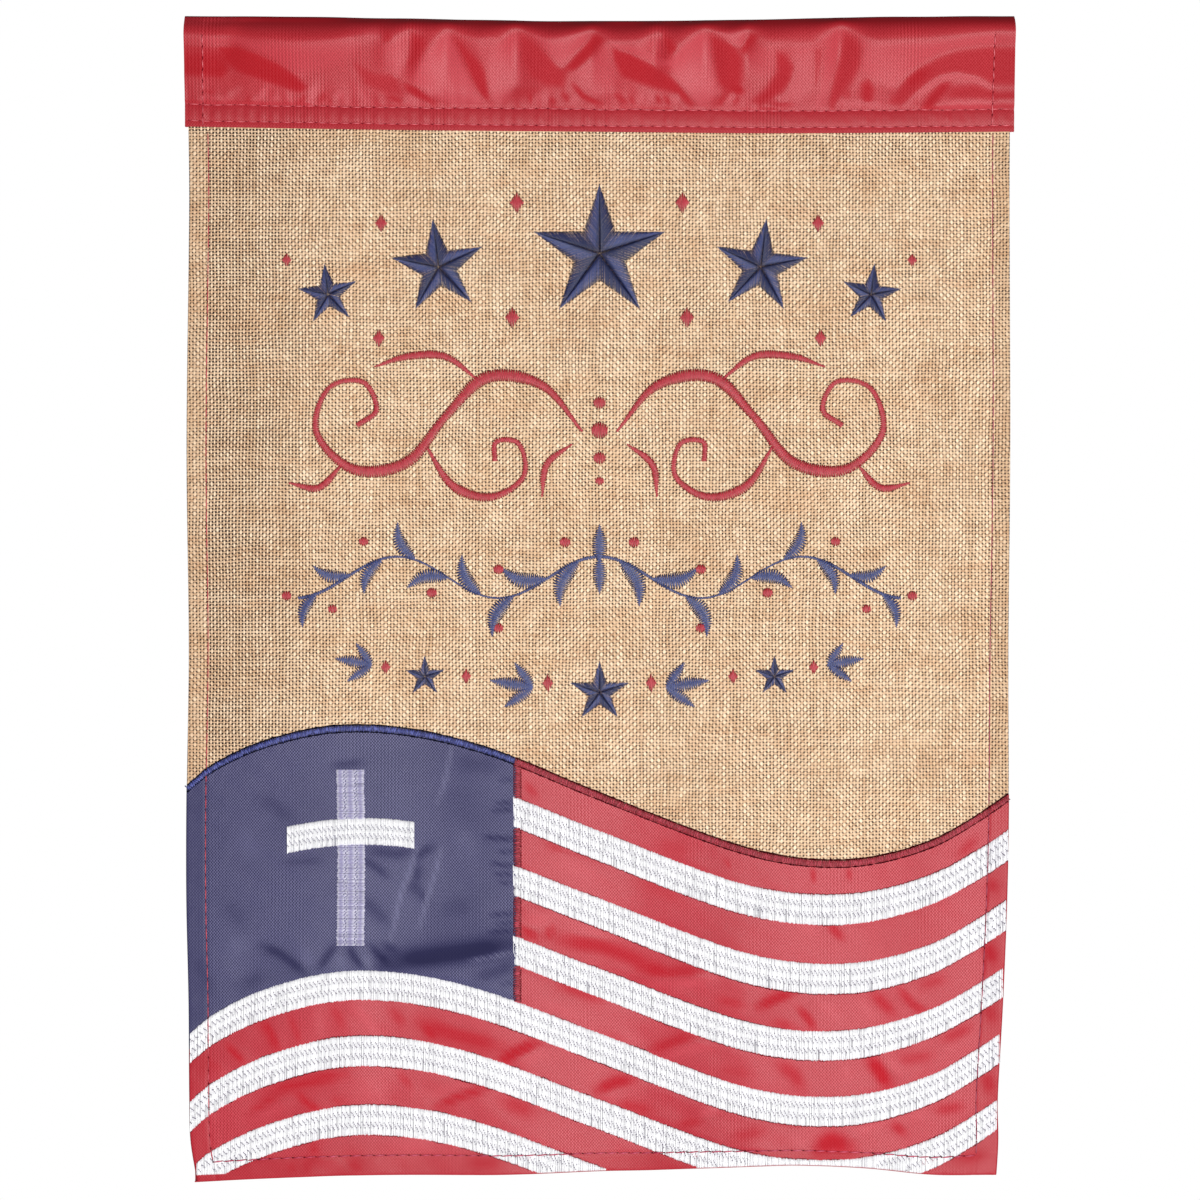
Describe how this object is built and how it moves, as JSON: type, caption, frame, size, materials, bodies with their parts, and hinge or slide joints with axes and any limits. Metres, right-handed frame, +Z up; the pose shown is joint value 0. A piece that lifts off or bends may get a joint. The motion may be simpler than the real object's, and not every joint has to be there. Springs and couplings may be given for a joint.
{
  "type": "house flag",
  "caption": "Vertical house flag: a burlap panel under a nylon pole sleeve, with a navy canton bearing a cross and a red field with white waving stripes sewn over its lower third.",
  "frame": {"origin": "middle of the top fold of the pole sleeve, in the plane in which the flag hangs", "axes": "+Z up the flag, +X along the sleeve to the right as seen from the front, and the front faces -Y"},
  "size_m": [0.721, 0.0303, 1.0147],
  "materials": {
    "burlap": "slubby plain weave in flax colours, matte",
    "red_nylon_sleeve": "fine plain-woven nylon with a soft sheen",
    "red_nylon": "fine plain-woven nylon with a soft sheen",
    "navy_nylon": "fine plain-woven nylon with a soft sheen",
    "white_thread": "glossy embroidery thread",
    "navy_thread": "glossy embroidery thread",
    "red_thread": "glossy embroidery thread"
  },
  "bodies": {
    "root": {"pole_sleeve": "red_nylon_sleeve", "body_panel": "burlap", "canton": "navy_nylon", "field": "red_nylon"}
  },
  "joints": []
}
